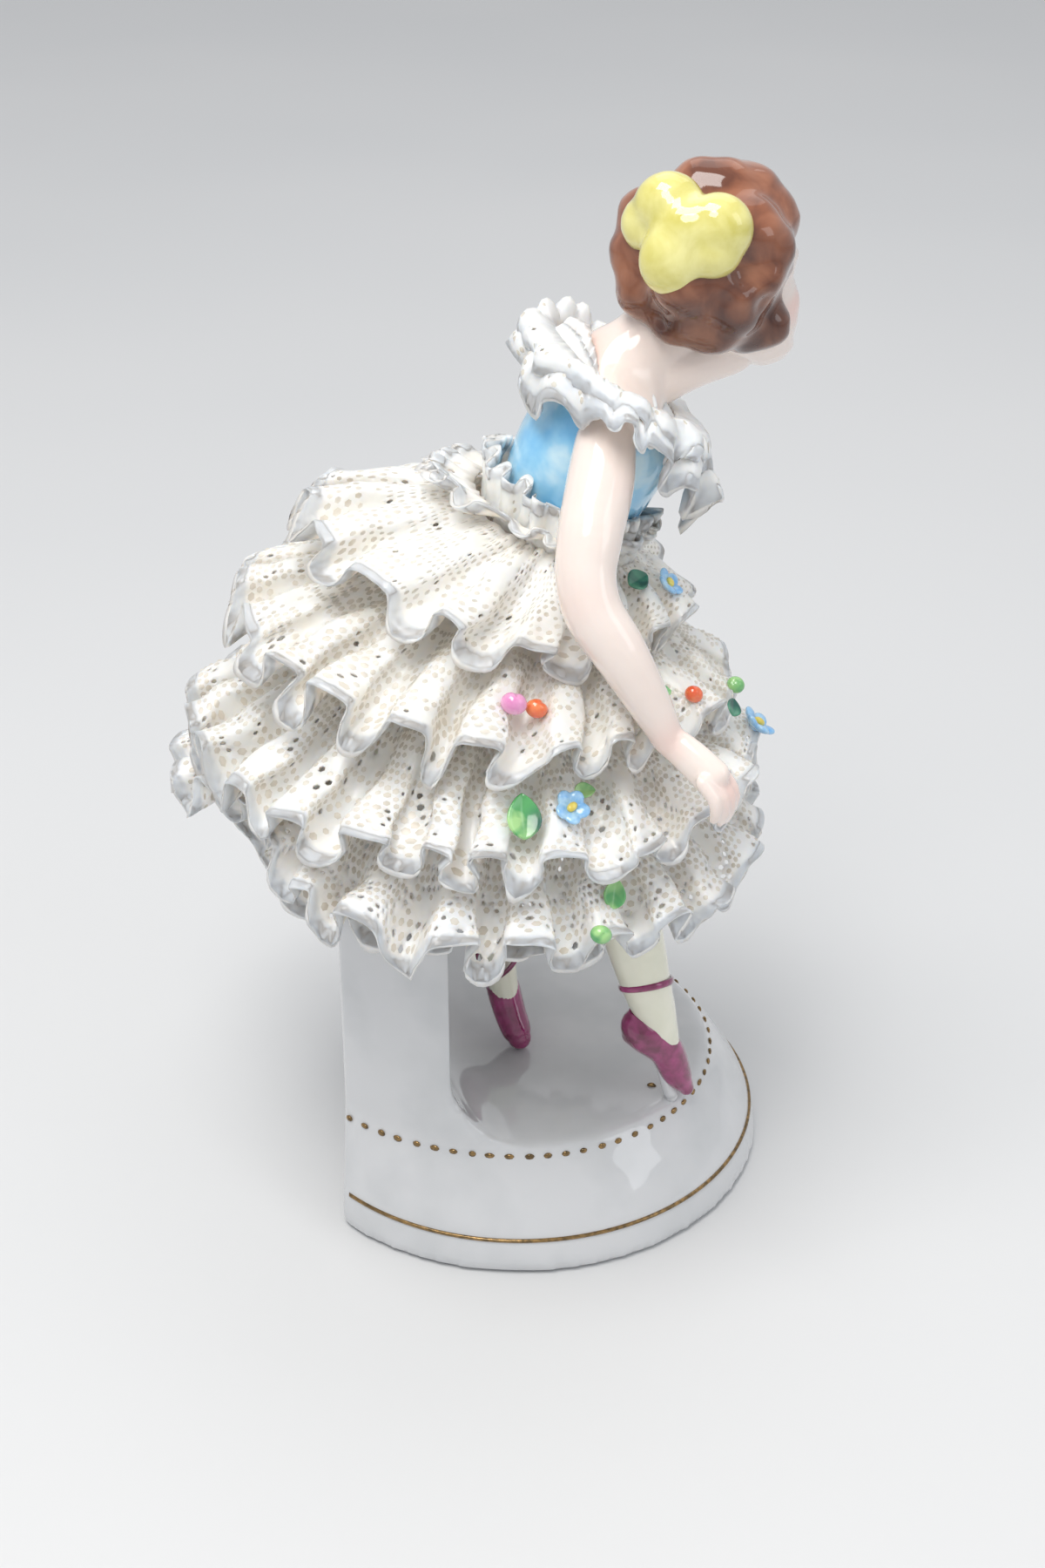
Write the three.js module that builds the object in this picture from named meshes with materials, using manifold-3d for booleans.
// Porcelain dancer in a lace skirt, leaning forward on tiptoe on a stepped half-round base with an upright behind.
// Millimetres. +X is the way she leans, +Y her left, +Z up. The origin is the centre of the base's round front, on
// the underside.
import * as THREE from "three";
import { ParametricGeometry } from "three/addons/geometries/ParametricGeometry.js";
import { mergeVertices } from "three/addons/utils/BufferGeometryUtils.js";
import Module from "manifold-3d";

const wasm = await Module();
wasm.setup();

// General sizes
const TURN = 2 * Math.PI;
const GAP = 0.35; // clearance between pieces that are joined by glaze

// Base: a lower tier and an upper tier, cut flat at the back
const FOOT_RADIUS = 40.4; // lower tier at the floor
const BACK_X = -27.2; // the flat back's distance behind the centre
const TIER_TOP = 18.3; // height that the feet stand on
const GOLD_LINE = { radius: FOOT_RADIUS - 1.4, z: 5.8 }; // shoulder of the lower tier
const BEAD_LINE = { radius: FOOT_RADIUS - 8.5, z: TIER_TOP - 1.5 }; // groove where the tiers meet
const TIER_RIM = BEAD_LINE.radius - 0.3; // radius of the upper tier's edge
const TIER_BACK_STRETCH = 1.215; // the upper tier and the upright are drawn out towards the back
const BASE_SIDES = 40;

// Dancer
const LEAN = THREE.MathUtils.degToRad(28); // chest's lean
const TORSO_TURN = THREE.MathUtils.degToRad(15); // her shoulders turn to her left
const HEAD = { x: 26, y: 1.4, z: 130.8, radius: 12.9 };
const FACE_TURN = THREE.MathUtils.degToRad(35); // her face turns further to her left
const LIMB_SIDES = 8;
const FINGER_SIDES = 5;

// Skirt, in the dancer's own frame: the floor under her feet is at z = 0
const CARRIER_WALL = 1.6;
const CARRIER_SIDES = 20;
const LACE = 1.3; // thickness of a lace strip, the glazed threads and their dimples together

// The underskirt's levels from the waist down. A level is a tipped ring: centre, half-axes and slope.
const CARRIER = [
  { x: 4.8, y: -0.4, z: 88.2, rx: 12.8, ry: 12, slope: -0.4 },
  { x: 2.6, y: -1.4, z: 83.4, rx: 15.6, ry: 14, slope: -0.34 },
  { x: -1.4, y: -2, z: 74.4, rx: 21.2, ry: 18.8, slope: -0.26 },
  { x: -4.4, y: -2.2, z: 62.8, rx: 26.8, ry: 23.8, slope: -0.16 },
  { x: -6.4, y: -2, z: 50.4, rx: 30.4, ry: 27.6, slope: -0.08 },
];

const FLUTE_DRIFT = 2.2; // how unevenly the flutes of a strip are spaced

// Lace strips: root and hem rings, number of flutes, where the first one lies, how deep they are at the hem, how far
// the strip bellies out, how uneven its hem is, and a phase that makes its unevenness its own. A torn strip is
// shortened by a share at an angle.
const STRIPS = {
  waist_frill: {
    root: { x: 5.4, z: 93.6, rx: 12, ry: 11.1, slope: -0.4 },
    hem: { x: 2.6, y: -0.8, z: 96.4, rx: 16, ry: 13.2, slope: -0.32 },
    flutes: 16, first: 0, depth: 1.1, belly: 0, uneven: 0.8, phase: 0.4,
  },
  flounce_1: {
    root: { x: 4.8, z: 91.8, rx: 12.6, ry: 11.8, slope: -0.4 },
    hem: { x: -3.6, y: -2, z: 86, rx: 28.6, ry: 26.4, slope: -0.26, droop: 1.6 },
    flutes: 15, first: 2, depth: 2.6, belly: 0.8, uneven: 1.2, phase: 1.1,
  },
  flounce_2: {
    root: { x: 1, y: -1.6, z: 82.9, rx: 18.7, ry: 16.8, slope: -0.32 },
    hem: { x: -5.4, y: -2.8, z: 73.4, rx: 38, ry: 34.3, slope: -0.18, droop: 2.2 },
    flutes: 21, first: 1.67, depth: 2.8, belly: 0.4, uneven: 1.4, phase: 2.3,
  },
  flounce_3: {
    root: { x: -2.4, y: -2, z: 72.2, rx: 24.6, ry: 21.9, slope: -0.24 },
    hem: { x: -7, y: -2.5, z: 58.6, rx: 44, ry: 41, slope: -0.07, droop: 2.6 },
    flutes: 24, first: 2, depth: 3.2, belly: -0.8, uneven: 1.5, phase: 3.7,
  },
  flounce_4: {
    root: { x: -4.8, y: -2.4, z: 59.6, rx: 30, ry: 26.9, slope: -0.14 },
    hem: { x: -8.6, y: -2.5, z: 44.2, rx: 46.4, ry: 42.6, slope: -0.05, droop: 0.6, lift: 5 },
    flutes: 26, first: 2.1, depth: 3.3, belly: -1, uneven: 1.7, phase: 5.2,
    torn: { at: 3.82, half: 0.34, share: 0.38 },
  },
  flounce_5: {
    root: { x: -6.4, y: -2, z: 49.4, rx: 32.6, ry: 29.8, slope: -0.08 },
    hem: { x: -6.8, y: -1.8, z: 39.6, rx: 37.8, ry: 37.6, slope: -0.06, droop: 0.6, lift: 3 },
    flutes: 22, first: 2.4, depth: 1.8, belly: -0.6, uneven: 1.2, phase: 0.9,
  },
  collar_ruffle: {
    root: { x: 13.4, y: 0.5, z: 114, rx: 9, ry: 14.6, slope: -0.66, turn: TORSO_TURN, roll: 0.03 },
    hem: { x: 13, y: 0.4, z: 104, rx: 12.4, ry: 21.8, slope: -0.74, droop: -8, turn: TORSO_TURN, roll: 0.09 },
    flutes: 14, first: 0, depth: 1.9, belly: 2.2, uneven: 1, phase: 4.4,
  },
};

// Upright: a wall with a hollow front, which goes up inside the skirt
const FIGURE_FLOOR = TIER_TOP + GAP;
const UPRIGHT_TOP = FIGURE_FLOOR + CARRIER.at(-1).z - 5; // clear of the underskirt's lowest level
const UPRIGHT_RADIUS = TIER_RIM - 0.8; // just inside the upper tier's edge
const UPRIGHT_FRONT = -8.6; // where the upright's sides end
const NICHE_DEPTH = 8; // how far the hollow front goes in behind that
const NICHE_SWEEP = 11; // radius of the sweep from the upright down to the tier

function vector(x, y, z) {
  return new THREE.Vector3(x, y, z);
}

// A surface through a row of rings. A ring is a function of the angle round it, or the point where it closes.
function loft(rings, sides) {
  const last = rings.length - 1;
  const surface = (u, v, target) => {
    const ring = rings[Math.round(v * last)];
    const step = Math.round(u * sides) % sides;
    target.copy(ring.isVector3 ? ring : ring((step * TURN) / sides));
  };
  return new ParametricGeometry(surface, sides, last);
}

// The closed solid of a geometry: corners merged, empty triangles dropped, faces turned outwards.
function solid(geometry) {
  const bare = new THREE.BufferGeometry();
  bare.setAttribute("position", geometry.getAttribute("position"));
  bare.setIndex(geometry.getIndex());
  const merged = mergeVertices(bare);
  const corners = merged.getAttribute("position").array;
  const index = merged.getIndex().array;
  const kept = [];
  let sixVolumes = 0;
  for (let i = 0; i < index.length; i += 3) {
    const [a, b, c] = index.slice(i, i + 3);
    if (a === b || b === c || c === a) continue;
    kept.push([a, b, c]);
    const [p, q, r] = [a, b, c].map((n) => new THREE.Vector3().fromArray(corners, 3 * n));
    sixVolumes += p.dot(q.cross(r));
  }
  const triVerts = new Uint32Array(kept.flatMap(([a, b, c]) => (sixVolumes < 0 ? [a, c, b] : [a, b, c])));
  return new wasm.Manifold(new wasm.Mesh({ numProp: 3, vertProperties: new Float32Array(corners), triVerts }));
}

function join(solids) {
  return solids.reduce((all, next) => all.add(next));
}

// A named mesh of a solid.
function meshOf(name, body, material) {
  const made = body.getMesh();
  const geometry = new THREE.BufferGeometry();
  geometry.setAttribute("position", new THREE.BufferAttribute(made.vertProperties, 3));
  geometry.setIndex(new THREE.BufferAttribute(made.triVerts, 1));
  geometry.computeVertexNormals();
  const mesh = new THREE.Mesh(geometry, material);
  mesh.name = name;
  return mesh;
}

function glaze(colour) {
  return new THREE.MeshStandardMaterial({ color: colour, roughness: 0.12, metalness: 0 });
}

const MATERIALS = {
  white: glaze(0xf2f4f2),
  lace: glaze(0xf1ebe4),
  skin: glaze(0xf0dcd4),
  blue: glaze(0x5fb4e6),
  yellow: glaze(0xe8dd55),
  pink: glaze(0xdf8fc4),
  orange: glaze(0xdd5a2c),
  green: glaze(0x6fbf6a),
  darkGreen: glaze(0x2f6f5c),
};

// Base

// One level of the base. Behind the centre a ring may be drawn out, as the upper tier is.
function baseRing(radius, z, stretch) {
  return (angle) => {
    const x = radius * Math.cos(angle) * (Math.cos(angle) < 0 ? stretch : 1);
    return vector(x, radius * Math.sin(angle), z);
  };
}

function makeBase() {
  const tiers = loft(
    [
      vector(0, 0, 0),
      baseRing(FOOT_RADIUS, 0, 1),
      baseRing(FOOT_RADIUS - 0.2, 1.6, 1),
      baseRing(GOLD_LINE.radius, GOLD_LINE.z, 1),
      baseRing(GOLD_LINE.radius - 1.7, GOLD_LINE.z + 3.6, 1.02),
      baseRing(GOLD_LINE.radius - 4.3, GOLD_LINE.z + 7.6, 1.09),
      baseRing(BEAD_LINE.radius, BEAD_LINE.z, TIER_BACK_STRETCH),
      baseRing(TIER_RIM, TIER_TOP - 0.3, TIER_BACK_STRETCH),
      baseRing(TIER_RIM - 1.2, TIER_TOP, TIER_BACK_STRETCH),
      vector(0, 0, TIER_TOP),
    ],
    BASE_SIDES,
  );
  const foot = UPRIGHT_RADIUS + 1;
  const column = loft(
    [
      vector(0, 0, TIER_TOP - 3),
      baseRing(foot, TIER_TOP - 3, TIER_BACK_STRETCH),
      baseRing(UPRIGHT_RADIUS + 0.4, TIER_TOP + 3, TIER_BACK_STRETCH),
      baseRing(UPRIGHT_RADIUS, TIER_TOP + 10, TIER_BACK_STRETCH),
      baseRing(UPRIGHT_RADIUS, UPRIGHT_TOP - 11, TIER_BACK_STRETCH),
      baseRing(UPRIGHT_RADIUS - 2.6, UPRIGHT_TOP - 4, TIER_BACK_STRETCH),
      baseRing(UPRIGHT_RADIUS - 7, UPRIGHT_TOP, TIER_BACK_STRETCH),
      vector(0, 0, UPRIGHT_TOP),
    ],
    BASE_SIDES,
  );
  return solid(tiers).add(solid(column).subtract(nicheCutter())).subtract(behind());
}

// Everything in front of the upright: a hollow wall that sweeps out into the tier below.
function nicheCutter() {
  const side = new THREE.Shape();
  const hollow = UPRIGHT_FRONT - NICHE_DEPTH;
  side.moveTo(FOOT_RADIUS + 5, TIER_TOP);
  side.lineTo(FOOT_RADIUS + 5, UPRIGHT_TOP + 5);
  side.lineTo(hollow, UPRIGHT_TOP + 5);
  side.lineTo(hollow, TIER_TOP + NICHE_SWEEP);
  side.absarc(hollow + NICHE_SWEEP, TIER_TOP + NICHE_SWEEP, NICHE_SWEEP, Math.PI, 1.5 * Math.PI, false);
  side.closePath();
  const width = 2 * (FOOT_RADIUS + 5);
  const cut = { depth: width, steps: 10, bevelEnabled: false, curveSegments: 4 };
  const slab = new THREE.ExtrudeGeometry(side, cut);
  slab.rotateX(Math.PI / 2);
  slab.translate(0, width / 2, 0);
  const position = slab.getAttribute("position");
  // The hollow's depth fades towards both sides.
  for (let i = 0; i < position.count; i += 1) {
    const share = position.getY(i) / (UPRIGHT_RADIUS - 0.5);
    position.setX(i, position.getX(i) + NICHE_DEPTH * Math.min(share ** 2, 2.2));
  }
  slab.setIndex([...Array(position.count).keys()]);
  return solid(slab);
}

function behind() {
  const block = new THREE.BoxGeometry(60, 200, 300);
  block.translate(BACK_X - 30, 0, 0);
  return solid(block);
}

// Dancer

// A cross-section of a body: half its depth and half its width, tipped forward by lean and turned by turn.
function section({ at, deep, wide, lean = 0, turn = 0 }) {
  const forward = vector(Math.cos(lean) * Math.cos(turn), Math.cos(lean) * Math.sin(turn), -Math.sin(lean));
  const left = vector(-Math.sin(turn), Math.cos(turn), 0);
  return (angle) =>
    vector(...at)
      .addScaledVector(forward, deep * Math.cos(angle))
      .addScaledVector(left, wide * Math.sin(angle));
}

// A point placed from the middle of the head.
function fromHead(x, y, z) {
  return [HEAD.x + x, HEAD.y + y, HEAD.z + z];
}

// Hips, waist, chest, shoulders and a neck that ends inside the head.
function torso() {
  const turn = TORSO_TURN;
  return solid(
    loft(
      [
        vector(1, -1, 58.4),
        section({ at: [1, -1, 61.4], deep: 7, wide: 9, lean: 0.05 }),
        section({ at: [1, -1, 71.4], deep: 10.5, wide: 12, lean: 0.15 }),
        section({ at: [3, -0.6, 82.4], deep: 10, wide: 10.6, lean: 0.3, turn: turn / 2 }),
        section({ at: [5.9, 0, 92.6], deep: 9.6, wide: 9, lean: 0.42, turn }),
        section({ at: [9.1, 0, 99.9], deep: 10.5, wide: 11.1, lean: LEAN, turn }),
        section({ at: [12.4, 0.4, 106.4], deep: 10.2, wide: 12.6, lean: LEAN, turn }),
        section({ at: [13.2, 0.2, 112], deep: 7.7, wide: 13.1, lean: 0.55, turn }),
        section({ at: [15.4, 0.6, 115.4], deep: 7.2, wide: 7.8, lean: 0.66, turn }),
        section({ at: fromHead(-7.2, -0.6, -12), deep: 6, wide: 5.4, lean: 0.7, turn }),
        section({ at: fromHead(-3, 0, -7), deep: 5.8, wide: 5.4, lean: 0.7, turn }),
        vector(...fromHead(-1, 0.1, -3.4)),
      ],
      12,
    ),
  );
}

// A limb through stations of a centre and a radius, round at both ends.
function limb(stations, sides = LIMB_SIDES, flat = 1) {
  const path = new THREE.CatmullRomCurve3(stations.map(([x, y, z]) => vector(x, y, z)));
  const last = stations.length - 1;
  const rings = stations.map(([x, y, z, radius], i) => {
    const along = path.getTangent(i / last);
    const across = vector(0, 1, 0).cross(along).normalize();
    const out = along.clone().cross(across).normalize();
    return (angle) =>
      vector(x, y, z)
        .addScaledVector(across, radius * Math.cos(angle))
        .addScaledVector(out, radius * flat * Math.sin(angle));
  });
  const [first, end] = [stations[0], stations[last]];
  const start = vector(...first).addScaledVector(path.getTangent(0), -0.6 * first[3]);
  const finish = vector(...end).addScaledVector(path.getTangent(1), 0.6 * end[3]);
  return solid(loft([start, ...rings, finish], sides));
}

const NEAR_ARM = [
  [12.6, -12.2, 108.2, 4.4],
  [12, -16.6, 104, 4.8],
  [10.9, -22, 98.9, 4.6],
  [10.4, -25, 93.9, 4.3],
  [11.6, -27, 89.2, 4.2],
  [15.2, -28.4, 84, 3.9],
  [19.5, -29, 76.6, 3.1],
  [22.5, -29.2, 70.8, 2.3],
];
const FAR_ARM = [
  [9.8, 12, 107.8, 4.2],
  [8.8, 16.4, 104, 4.6],
  [8.2, 21, 99.4, 4.5],
  [8.6, 24.4, 91.8, 4.2],
  [8.8, 26.6, 87.4, 4.1],
  [8.6, 28.6, 82.8, 3.7],
  [8.8, 30.4, 78, 3],
  [9.6, 31.4, 74.6, 2.3],
];

const FINGERS = [0.8, 0.96, 1, 0.9]; // how long the fingers are, from the little one

// A loosely closed hand beyond a wrist: palm, four fingers and a thumb. It points forward, turned aside and down by
// two angles, and side is 1 on her right and -1 on her left.
function hand(wrist, side, aside, slope) {
  const inward = vector(Math.sin(aside), side * Math.cos(aside), 0);
  const level = vector(Math.cos(aside), -side * Math.sin(aside), 0);
  const ahead = level.clone().multiplyScalar(Math.cos(slope)).setZ(-Math.sin(slope));
  const up = level.clone().multiplyScalar(Math.sin(slope)).setZ(Math.cos(slope));
  const station = (along, across, below, radius) => {
    const at = vector(...wrist).addScaledVector(ahead, along).addScaledVector(inward, across);
    return [...at.addScaledVector(up, -below).toArray(), radius];
  };
  const palm = limb(
    [station(-0.6, 0, 0, 2.4), station(3.6, 0, -0.2, 2.7), station(8.4, 0, 0.1, 2.9)],
    LIMB_SIDES,
    0.68,
  );
  const thumb = limb(
    [station(2.6, 1.8, 0.6, 1.3), station(6, 3, 1.9, 1.15), station(8.8, 3, 3.4, 0.85)],
    FINGER_SIDES,
  );
  const fingers = FINGERS.map((long, i) => {
    const across = 1.6 * (i - 1.5);
    return limb(
      [
        station(7.8, across, 0, 1.1),
        station(8.6 + 2.4 * long, across, 0.9, 1.05),
        station(8.6 + 4 * long, across, 3 * long, 0.9),
        station(8.6 + 4.4 * long, 0.95 * across, 4.8 * long, 0.7),
      ],
      FINGER_SIDES,
    );
  });
  return join([palm, thumb, ...fingers]);
}

const FRONT_LEG = [
  [4, -6, 69.4, 7.4],
  [8.6, -9, 57.4, 6],
  [14, -13.4, 45.9, 5],
  [17, -16.8, 36.4, 5],
  [18.6, -17.7, 29.8, 4.7],
  [20.6, -18.2, 22.1, 4],
  [22.2, -18, 16.4, 3.5],
];
const BACK_LEG = [
  [-1, 6, 69.4, 7.4],
  [-3, 5.4, 57.4, 6.4],
  [-4.6, 4.2, 44.4, 4.9],
  [-5.8, 2.6, 31.4, 4.4],
  [-5, 1.2, 21.4, 3.7],
  [-3.6, 0, 13.8, 2.9],
  [-2.4, -1.6, 9, 2.7],
];

// The shoes stand on the tips of their toes: heel, instep, ball and tip.
const FRONT_SHOE = [
  [19, -19.2, 16, 2.2],
  [20.6, -18.8, 12.6, 3.3],
  [23.6, -17.6, 7.6, 3.1],
  [26.2, -16.8, 3.2, 2.4],
  [27.2, -16.5, 1.1, 1.4],
];
const BACK_SHOE = [
  [-4.2, 1.8, 11.8, 1.9],
  [-3, -0.4, 8.8, 2.8],
  [-1.6, -2.6, 5, 2.8],
  [-0.4, -4.4, 2.2, 2.2],
  [0, -4.8, 1, 1.3],
];

// Hair in soft waves: a ball whose surface rolls in lumps, flatter over the face.
function hairBall() {
  const rows = 9;
  const rings = [];
  for (let row = 1; row < rows; row += 1) {
    const fall = (row * Math.PI) / rows;
    rings.push((angle) => {
      const roll = Math.sin(5 * angle + 2.4 * Math.sin(2 * fall) + row) * Math.sin(fall);
      const curl = 0.055 * roll + 0.03 * Math.sin(6 * fall + 2 * angle);
      const r = HEAD.radius * (1 + curl);
      return vector(
        HEAD.x - 0.6 + r * Math.sin(fall) * Math.cos(angle),
        HEAD.y - 0.6 + 0.94 * r * Math.sin(fall) * Math.sin(angle),
        HEAD.z + r * Math.cos(fall),
      );
    });
  }
  const top = vector(HEAD.x - 1, HEAD.y, HEAD.z + HEAD.radius);
  const bottom = vector(HEAD.x, HEAD.y, HEAD.z - HEAD.radius);
  return solid(loft([top, ...rings, bottom], 16));
}

// A point in the head's own frame: forward out of the face, to her left, and up.
function onHead(forward, left, up) {
  const c = Math.cos(FACE_TURN);
  const s = Math.sin(FACE_TURN);
  return [HEAD.x + forward * c - left * s, HEAD.y + forward * s + left * c, HEAD.z + up + 0.16 * forward];
}

function face() {
  const front = (at, deep, wide) => section({ at: onHead(...at), deep, wide, lean: -0.1, turn: FACE_TURN });
  const oval = loft(
    [
      vector(...onHead(3, 0, 9)),
      front([3.8, 0, 5], 8, 8),
      front([4.4, 0, 0.6], 9.4, 9.2),
      front([4.4, 0, -4.6], 9.4, 9),
      front([4.6, 0, -9.6], 9, 7.6),
      front([5.6, 0, -14], 7.4, 5.4),
      front([7.6, 0, -17.4], 4.6, 3),
      vector(...onHead(8, 0, -18.8)),
    ],
    12,
  );
  const nose = limb([[...onHead(12.6, 0, -4.6), 0.7], [...onHead(14.2, 0, -9), 1.15]], 6);
  const throat = [fromHead(-8.6, -1, -16.8), fromHead(-2.4, 0.6, -14.4), fromHead(3.6, 3.2, -13.4)];
  const jaw = limb(throat.map((at, i) => [...at, 5.4 - 0.5 * i]));
  return join([solid(oval), nose, jaw]);
}

// The bow's soft lobes at the back of her right temple.
function bow() {
  const lobes = [
    { at: fromHead(-5.8, -6, 9), size: [4.3, 4, 3.9], tip: 0.2 },
    { at: fromHead(1, -9.9, 6.7), size: [4.4, 3.8, 4.4], tip: 0 },
    { at: fromHead(-5.6, -10.8, 2.6), size: [4, 3.4, 4.4], tip: -0.3 },
    { at: fromHead(-8.9, -4.4, 6), size: [2.8, 2.8, 3.4], tip: 0.5 },
    { at: fromHead(-3, -9.9, 5.8), size: [4.8, 3.8, 4.6], tip: 0 },
  ];
  return lobes.map(({ at, size, tip }) => {
    const lobe = new THREE.SphereGeometry(1, 7, 5);
    lobe.scale(...size);
    lobe.rotateY(tip);
    lobe.translate(...at);
    return solid(lobe);
  });
}

function makeDancer() {
  const standing = [limb(FRONT_LEG), limb(BACK_LEG), limb(FRONT_SHOE), limb(BACK_SHOE)];
  const reaching = [
    limb(NEAR_ARM),
    limb(FAR_ARM),
    hand(NEAR_ARM.at(-1), 1, 0.52, 0.5),
    hand(FAR_ARM.at(-1), -1, 0.15, 0.85),
  ];
  return join([torso(), ...standing, ...reaching, hairBall(), face(), ...bow()]);
}

// Skirt

// A tipped ring round the body: centre, half-axes, slope from back to front, how much lower its sides hang,
// how much higher its back is kicked up, the turn of the whole ring, and how much higher its far side is.
function ringPoint({ x, y = 0, z, rx, ry, slope, droop = 0, lift = 0, turn = 0, roll = 0 }, angle) {
  const c = Math.cos(angle);
  const s = Math.sin(angle);
  const raised = lift * Math.max(0, -c) ** 2;
  return vector(
    x + rx * c * Math.cos(turn) - ry * s * Math.sin(turn),
    y + rx * c * Math.sin(turn) + ry * s * Math.cos(turn),
    z + slope * rx * c - droop * s * s + raised + roll * ry * s,
  );
}

function widened(ring, by) {
  return { ...ring, rx: ring.rx + by, ry: ring.ry + by };
}

function makeCarrier() {
  const outer = CARRIER.map((ring) => (angle) => ringPoint(ring, angle));
  const inner = CARRIER.map((ring, i) => {
    const inset = { ...widened(ring, -CARRIER_WALL), z: ring.z - (i < 2 ? CARRIER_WALL * 0.8 : 0) };
    return (angle) => ringPoint(inset, angle);
  }).reverse();
  return solid(loft([...outer, ...inner, outer[0]], CARRIER_SIDES));
}

// A slow wobble round a strip, between -1 and 1, that no flute repeats.
function wobble(angle, phase) {
  const slow = 0.5 * Math.sin(2 * angle + phase) + 0.3 * Math.sin(5 * angle + 2.1 * phase);
  return slow + 0.2 * Math.sin(9 * angle + 3.7 * phase);
}

// A strip before its flutes, at an angle and a share of the way from root to hem: a point and the way out of it.
function stripFrame({ root, hem, belly, uneven, phase, torn }, angle, share) {
  const top = ringPoint(root, angle);
  const bottom = ringPoint(hem, angle);
  bottom.z += uneven * wobble(angle, phase + 1);
  if (torn) bottom.lerp(top, torn.share * Math.exp(-(((angle - torn.at) / torn.half) ** 2)));
  const down = bottom.clone().sub(top).normalize();
  const round = ringPoint(root, angle + 0.01).sub(ringPoint(root, angle - 0.01)).normalize();
  const out = round.cross(down).normalize();
  if (out.z < 0) out.negate();
  return { at: top.lerp(bottom, share).addScaledVector(out, belly * Math.sin(Math.PI * share)), out };
}

// How far the flutes swing in and out there.
function fluteDepth({ depth, phase }, angle, share) {
  return depth * share * (1 + 0.35 * wobble(angle, 2 * phase));
}

// The angle of a fold, counted round the strip: a crest at each even step, a trough at each odd one.
function foldAngle({ flutes, first, phase }, step) {
  let angle = 0;
  for (let tries = 0; tries < 60; tries++) {
    angle = (step * Math.PI - first - FLUTE_DRIFT * wobble(angle, phase)) / flutes;
  }
  return angle;
}

// Where on the folds an angle lies, in turns: a whole number is a crest.
function foldTurns({ flutes, first, phase }, angle) {
  return (flutes * angle + first + FLUTE_DRIFT * wobble(angle, phase)) / TURN;
}

// The highest that the folds are between two angles: 1 on a crest, -1 in a trough.
function highestFold(strip, from, to) {
  const ends = [foldTurns(strip, from), foldTurns(strip, to)];
  if (Math.floor(ends[0]) !== Math.floor(ends[1])) return 1;
  return Math.max(...ends.map((turns) => 1 - 4 * Math.abs(turns - Math.round(turns))));
}

// A strip with a corner on every crest and trough.
function makeStrip(strip) {
  const corner = (share, sunk) => (angle) => {
    const step = Math.round((angle * strip.flutes) / Math.PI);
    const fold = foldAngle(strip, step);
    const { at, out } = stripFrame(strip, fold, share);
    const swing = fluteDepth(strip, fold, share) * (step % 2 === 0 ? 1 : -1);
    return at.addScaledVector(out, swing - sunk);
  };
  const shares = strip.belly === 0 ? [0, 1] : [0, 0.5, 1];
  const face = shares.map((share) => corner(share, 0));
  const lining = shares.map((share) => corner(share, LACE)).reverse();
  return solid(loft([...face, ...lining, face[0]], 2 * strip.flutes));
}

// Applied flowers, buds and leaves. Each is made with its underside on the plane z = 0 and faces up.
function flower(radius) {
  const petals = (share, z) => (angle) => {
    const r = radius * share * (0.8 + 0.2 * Math.cos(5 * angle));
    return vector(r * Math.cos(angle), r * Math.sin(angle), z);
  };
  const heart = (angle) => vector(0.3 * radius * Math.cos(angle), 0.3 * radius * Math.sin(angle), 0.55 * radius);
  const rings = [petals(0.75, 0), petals(1, 0.35 * radius), heart];
  return loft([vector(0, 0, 0), ...rings, vector(0, 0, 0.66 * radius)], 15);
}

function bud(radius) {
  const ball = new THREE.SphereGeometry(radius, 7, 5);
  ball.rotateX(Math.PI / 2);
  ball.scale(1, 1, 0.95);
  ball.translate(0, 0, 0.95 * radius);
  return ball;
}

function leaf(length) {
  const rib = (share, wide, z) => (angle) =>
    vector(
      length * share,
      0.5 * length * wide * Math.cos(angle),
      z + 0.13 * length * (1 + Math.sin(angle)),
    );
  const ribs = [rib(-0.3, 0.42, 0), rib(0, 0.62, 0), rib(0.3, 0.4, 0.06 * length)];
  return loft([vector(-0.5 * length, 0, 0.1 * length), ...ribs, vector(0.5 * length, 0, 0.3 * length)], 6);
}

const SHAPES = { flower, bud, leaf };
const FOOTPRINT = { flower: 1, bud: 0.75, leaf: 0.45 }; // half of what a piece rests on, as a share of its size

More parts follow.
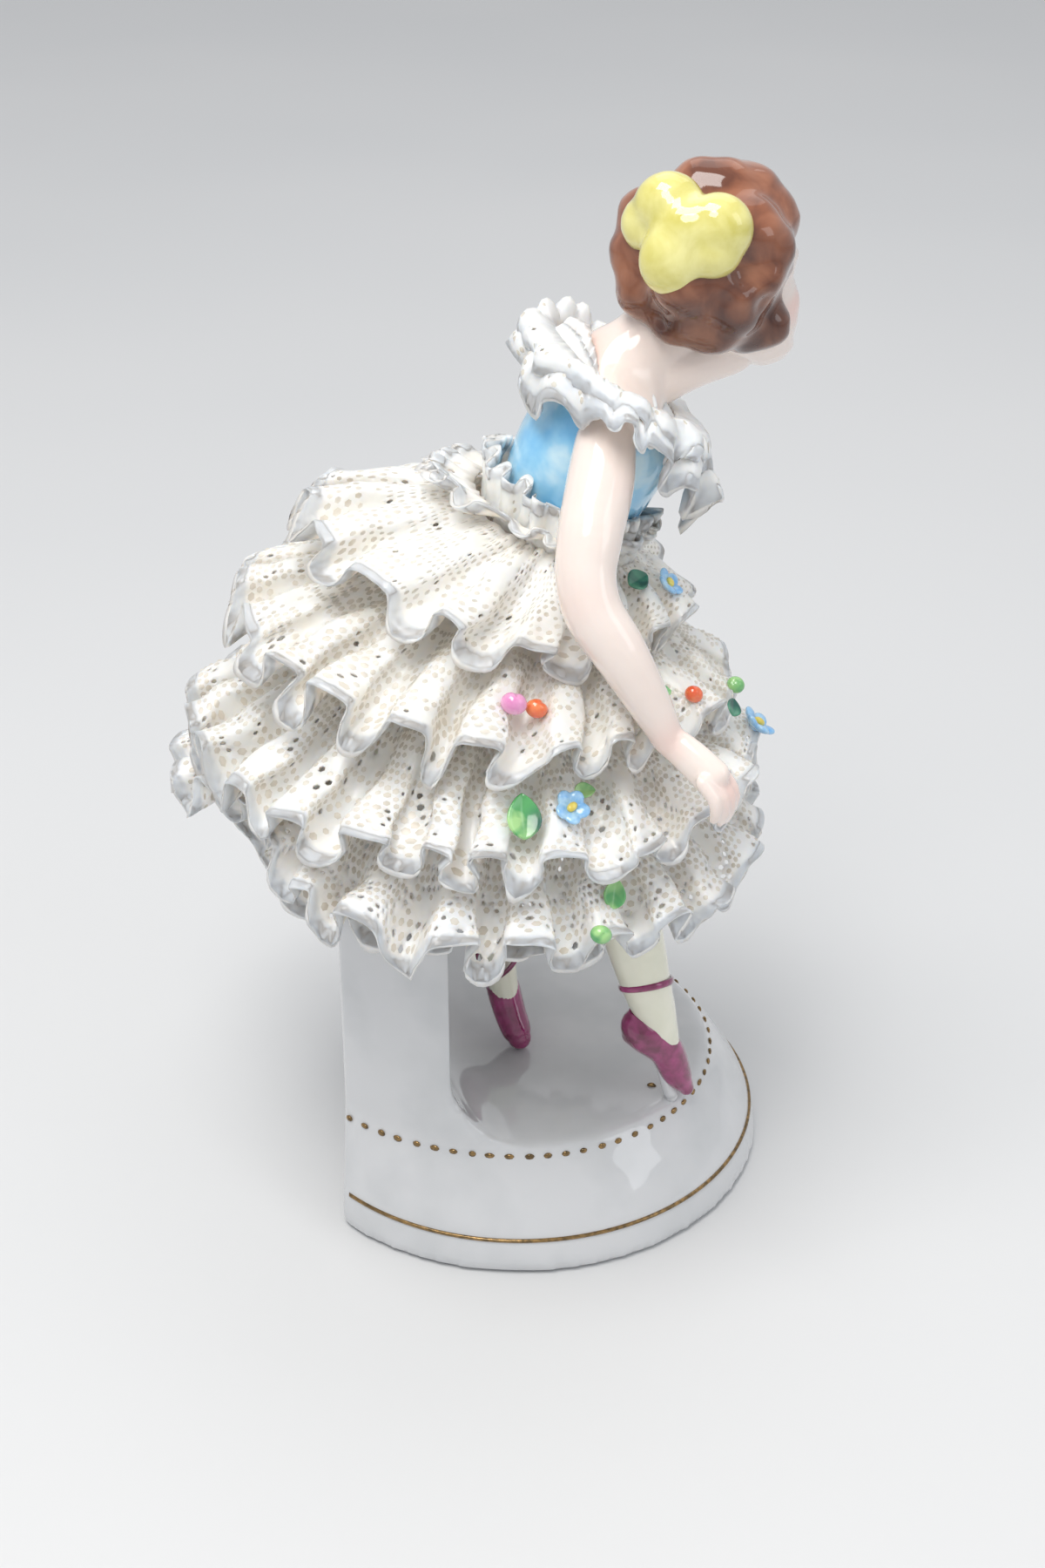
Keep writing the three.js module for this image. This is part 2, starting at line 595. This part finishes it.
// Where each one sits: its strip, degrees round the skirt, share of the way down, size, and its turn on the strip.
const TRIM = [
  { name: "bud_1", on: "flounce_2", degrees: 275.6, share: 0.61, size: 1.9, colour: "pink" },
  { name: "bud_2", on: "flounce_2", degrees: 282.4, share: 0.6, size: 1.6, colour: "orange" },
  { name: "bud_3", on: "flounce_4", degrees: 297.4, share: 0.93, size: 1.6, colour: "green" },
  { name: "bud_4", on: "flounce_2", degrees: 329.6, share: 0.76, size: 1.4, colour: "orange" },
  { name: "bud_5", on: "flounce_2", degrees: 354, share: 0.97, size: 1.4, colour: "green" },
  { name: "bud_6", on: "flounce_2", degrees: 61, share: 0.75, size: 1.6, colour: "pink" },
  { name: "bud_7", on: "flounce_3", degrees: 136, share: 0.8, size: 1.6, colour: "orange" },
  { name: "flower_1", on: "flounce_3", degrees: 292.1, share: 0.61, size: 2.7, colour: "blue" },
  { name: "flower_2", on: "flounce_1", degrees: 341.7, share: 0.5, size: 2.4, colour: "blue" },
  { name: "flower_3", on: "flounce_3", degrees: 3, share: 0.88, size: 2.6, colour: "blue" },
  { name: "flower_4", on: "flounce_3", degrees: 86, share: 0.62, size: 2.6, colour: "blue" },
  { name: "flower_5", on: "flounce_2", degrees: 150, share: 0.7, size: 2.4, colour: "blue" },
  { name: "leaf_1", on: "flounce_3", degrees: 281.4, share: 0.66, size: 6, colour: "green", turn: 115 },
  { name: "leaf_2", on: "flounce_3", degrees: 297.6, share: 0.47, size: 3.2, colour: "green", turn: 20 },
  { name: "leaf_3", on: "flounce_4", degrees: 302.8, share: 0.66, size: 4.6, colour: "green", turn: 95 },
  { name: "leaf_4", on: "flounce_1", degrees: 324, share: 0.3, size: 4.4, colour: "darkGreen", turn: 60 },
  { name: "leaf_5", on: "flounce_2", degrees: 320.5, share: 0.56, size: 4, colour: "green", turn: 30 },
  { name: "leaf_6", on: "flounce_2", degrees: 341, share: 0.93, size: 3.4, colour: "darkGreen", turn: 100 },
  { name: "leaf_7", on: "flounce_3", degrees: 92, share: 0.7, size: 4.6, colour: "green", turn: 40 },
  { name: "leaf_8", on: "flounce_2", degrees: 158, share: 0.6, size: 4, colour: "darkGreen", turn: 120 },
];

// A piece of trim facing out, just clear of the highest fold under it.
function placedTrim({ name, on, degrees, share, size, colour, turn = 0 }) {
  const kind = name.split("_")[0];
  const mesh = meshOf(name, solid(SHAPES[kind](size)), MATERIALS[colour]);
  const strip = STRIPS[on];
  const angle = THREE.MathUtils.degToRad(degrees);
  const { at, out } = stripFrame(strip, angle, share);
  const reach = (FOOTPRINT[kind] * size) / Math.hypot(at.x - strip.hem.x, at.y - strip.hem.y);
  const rise = fluteDepth(strip, angle, share) * highestFold(strip, angle - reach, angle + reach);
  mesh.position.copy(at.addScaledVector(out, rise + GAP));
  mesh.quaternion.setFromUnitVectors(vector(0, 0, 1), out);
  mesh.rotateZ(THREE.MathUtils.degToRad(turn));
  return mesh;
}

// Object
const dressed = new THREE.Group();
dressed.add(meshOf("dancer", makeDancer(), MATERIALS.skin));
dressed.add(meshOf("underskirt", makeCarrier(), MATERIALS.white));
for (const [name, strip] of Object.entries(STRIPS)) {
  dressed.add(meshOf(name, makeStrip(strip), MATERIALS.lace));
}
for (const piece of TRIM) dressed.add(placedTrim(piece));
dressed.position.z = FIGURE_FLOOR;

const figurine = new THREE.Group();
figurine.add(meshOf("base", makeBase(), MATERIALS.white), dressed);

export default figurine;
